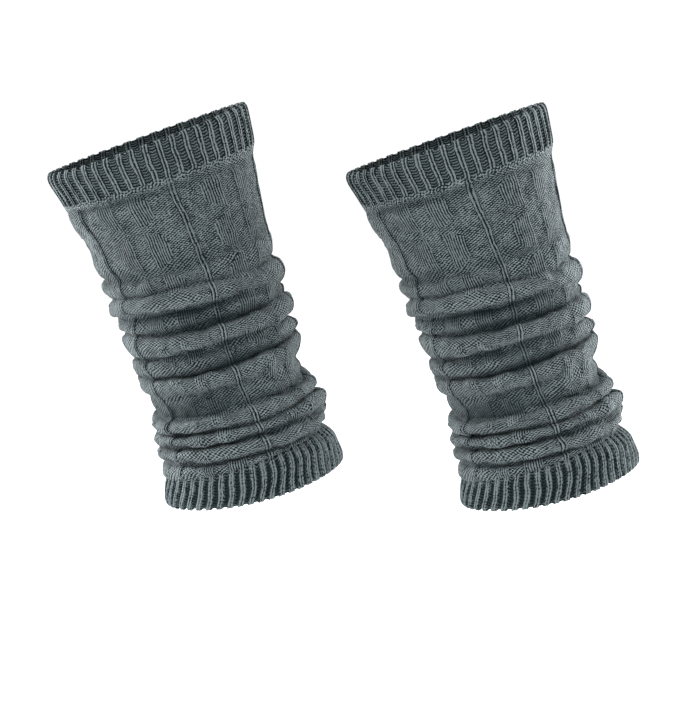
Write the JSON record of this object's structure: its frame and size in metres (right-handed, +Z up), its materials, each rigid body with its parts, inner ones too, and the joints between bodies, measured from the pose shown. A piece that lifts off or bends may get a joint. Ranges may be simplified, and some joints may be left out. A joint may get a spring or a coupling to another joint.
{
  "type": "pair of leg warmers",
  "caption": "Knitted leg warmers in their worn, hollow shape: ribbed cuffs above and below a patterned leg that slouches into soft rolls on a leaning lower leg.",
  "frame": {"origin": "middle of the left top cuff's opening, on the axis of the calf that holds it up", "axes": "+Z up, +X from the left warmer to the right one and towards the heels, +Y away from the viewer; each leg leans 17 degrees so that its ankle is towards +X"},
  "size_m": [0.3413, 0.1117, 0.2338],
  "materials": {
    "pattern_knit": "matt slate grey knit of plain and purl blocks",
    "rib_knit": "matt slate grey narrow rib"
  },
  "bodies": {
    "root": {"left_top_cuff": "rib_knit", "left_upper_leg": "pattern_knit", "left_middle_leg": "pattern_knit", "left_lower_leg": "pattern_knit", "left_bottom_cuff": "rib_knit", "right_top_cuff": "rib_knit", "right_upper_leg": "pattern_knit", "right_middle_leg": "pattern_knit", "right_lower_leg": "pattern_knit", "right_bottom_cuff": "rib_knit"}
  },
  "joints": []
}
